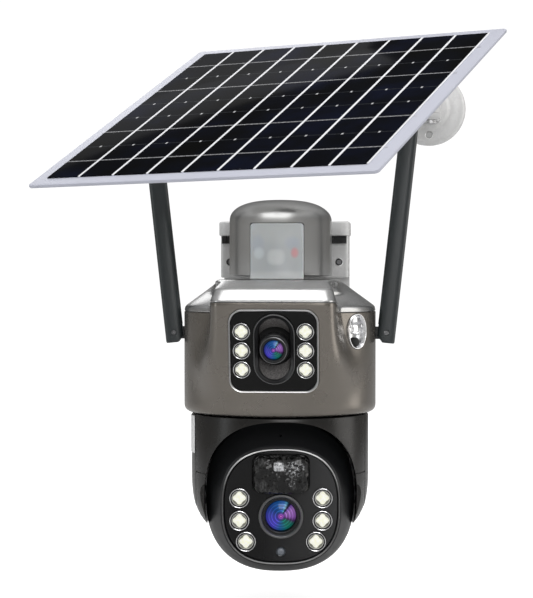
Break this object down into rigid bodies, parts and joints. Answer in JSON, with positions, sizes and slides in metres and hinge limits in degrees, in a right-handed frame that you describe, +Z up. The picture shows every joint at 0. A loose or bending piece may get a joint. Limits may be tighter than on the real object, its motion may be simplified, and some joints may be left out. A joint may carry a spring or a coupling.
{
  "type": "solar security camera",
  "caption": "Wall-mounted pan and tilt security camera with a fixed second lens, two folding antennas and a square solar panel on its own swinging wall arm.",
  "frame": {"origin": "centre of the camera bracket's flat back face, on the wall", "axes": "+X to the right seen from in front, +Y into the wall, +Z up; the camera looks along -Y"},
  "size_m": [0.2927, 0.3195, 0.3625],
  "materials": {
    "white_plastic": "satin white moulding",
    "gunmetal_paint": "glossy warm grey metallic paint",
    "silver_paint": "satin silver paint",
    "black_plastic": "satin black moulding",
    "smoked_acrylic": "glossy smoked black",
    "bright_metal": "bright plated",
    "steel": "plain steel",
    "rubber": "matt black rubber",
    "lens_glass": "coated lens",
    "diffuser": "milky translucent moulding",
    "solar_cells": "laminated black cells under clear film",
    "circuit_board": "green circuit board",
    "battery_wrap": "blue sleeve",
    "gear_plastic": "natural acetal"
  },
  "bodies": {
    "wall_set": {"back_plate": "white_plastic", "bracket_body": "white_plastic", "latch_bar": "black_plastic", "support_arm": "steel", "sensor_cap": "silver_paint", "sensor_window": "diffuser", "indicator_board": "circuit_board", "roof_cover": "silver_paint", "upper_housing": "gunmetal_paint", "base_plate": "black_plastic", "battery_cell_1": "battery_wrap", "battery_cell_2": "battery_wrap", "battery_cell_3": "battery_wrap", "main_board": "circuit_board", "window_bezel": "silver_paint", "front_window": "smoked_acrylic", "lens_shroud": "black_plastic", "upper_lamps_left": "bright_metal", "upper_lamps_right": "bright_metal", "port_cup": "bright_metal", "port_plug": "rubber", "pan_motor": "steel", "panel_wall_base": "white_plastic", "swing_pin": "steel"},
    "pan_yoke": {"yoke": "black_plastic", "arm_cover_left": "black_plastic", "arm_cover_right": "black_plastic", "blank_label": "white_plastic", "pan_gear": "gear_plastic"},
    "pan_pinion": {"pan_pinion": "gear_plastic"},
    "tilt_head": {"head_shell_front": "black_plastic", "head_shell_rear": "black_plastic", "face_plate": "smoked_acrylic", "head_lamps_left": "bright_metal", "head_lamps_right": "bright_metal", "motion_lens": "smoked_acrylic", "zoom_lens_ring": "bright_metal", "zoom_lens_barrel": "black_plastic", "zoom_lens_glass": "lens_glass", "light_sensor": "diffuser", "head_board": "circuit_board", "tilt_motor": "steel"},
    "fixed_lens": {"fixed_lens_holder": "black_plastic", "fixed_lens_barrel": "black_plastic", "fixed_lens_glass": "lens_glass"},
    "port_flap": {"port_flap": "bright_metal"},
    "antenna_hub_left": {"antenna_hub_left": "black_plastic"},
    "antenna_left": {"antenna_blade_left": "black_plastic", "antenna_screw_left": "steel"},
    "antenna_hub_right": {"antenna_hub_right": "black_plastic"},
    "antenna_right": {"antenna_blade_right": "black_plastic", "antenna_screw_right": "steel"},
    "panel_arm": {"panel_arm": "white_plastic"},
    "panel_knuckle": {"tilt_knuckle": "white_plastic"},
    "solar_panel": {"panel_plate": "white_plastic", "cell_sheet": "solar_cells", "panel_mount": "white_plastic", "tilt_bolt": "steel", "junction_box": "black_plastic"},
    "tilt_knob": {"tilt_knob": "black_plastic"}
  },
  "joints": [
    {"name": "pan", "type": "hinge", "parent": "wall_set", "child": "pan_yoke", "pos_m": [0, -0.075, -0.1012], "axis": [0, 0, 1], "range_deg": [-175, 175]},
    {"name": "pan_pinion_spin", "type": "hinge", "parent": "wall_set", "child": "pan_pinion", "pos_m": [-0.024, -0.075, -0.0905], "axis": [0, 0, 1], "range_deg": [-530, 530]},
    {"name": "tilt", "type": "hinge", "parent": "pan_yoke", "child": "tilt_head", "pos_m": [0, -0.075, -0.1575], "axis": [0.9965, 0.0837, 0], "range_deg": [-15, 85]},
    {"name": "fixed_lens_tilt", "type": "hinge", "parent": "wall_set", "child": "fixed_lens", "pos_m": [0.0013, -0.14659, -0.05417], "axis": [1, 0, 0], "range_deg": [-12, 12]},
    {"name": "port_flap_hinge", "type": "hinge", "parent": "wall_set", "child": "port_flap", "pos_m": [0.05226, -0.11159, -0.0414], "axis": [-0.5736, -0.8192, 0], "range_deg": [0, 80]},
    {"name": "antenna_left_swivel", "type": "hinge", "parent": "wall_set", "child": "antenna_hub_left", "pos_m": [-0.0723, -0.075, -0.047], "axis": [1, 0, 0], "range_deg": [0, 60]},
    {"name": "antenna_left_fold", "type": "hinge", "parent": "antenna_hub_left", "child": "antenna_left", "pos_m": [-0.0723, -0.075, -0.047], "axis": [0, -1, 0], "range_deg": [-5, 83]},
    {"name": "antenna_right_swivel", "type": "hinge", "parent": "wall_set", "child": "antenna_hub_right", "pos_m": [0.0723, -0.075, -0.047], "axis": [1, 0, 0], "range_deg": [0, 60]},
    {"name": "antenna_right_fold", "type": "hinge", "parent": "antenna_hub_right", "child": "antenna_right", "pos_m": [0.0723, -0.075, -0.047], "axis": [0, 1, 0], "range_deg": [-5, 83]},
    {"name": "panel_arm_swing", "type": "hinge", "parent": "wall_set", "child": "panel_arm", "pos_m": [0.1017, -0.027, 0.1101], "axis": [0, 0, 1], "range_deg": [-8, 20]},
    {"name": "panel_swivel", "type": "hinge", "parent": "panel_arm", "child": "panel_knuckle", "pos_m": [0.00833, -0.16618, 0.08268], "axis": [0, 0, 1], "range_deg": [-15, 15]},
    {"name": "panel_tilt", "type": "hinge", "parent": "panel_knuckle", "child": "solar_panel", "pos_m": [0.00833, -0.16618, 0.08268], "axis": [0.9285, -0.371, 0.0175], "range_deg": [-12, 15]},
    {"name": "tilt_knob_turn", "type": "hinge", "parent": "solar_panel", "child": "tilt_knob", "pos_m": [0.00833, -0.16618, 0.08268], "axis": [0.9285, -0.371, 0.0175], "range_deg": [-180, 180]}
  ],
  "couplings": [
    {"joint": "pan_pinion_spin", "follows": "pan", "ratio": -3}
  ]
}
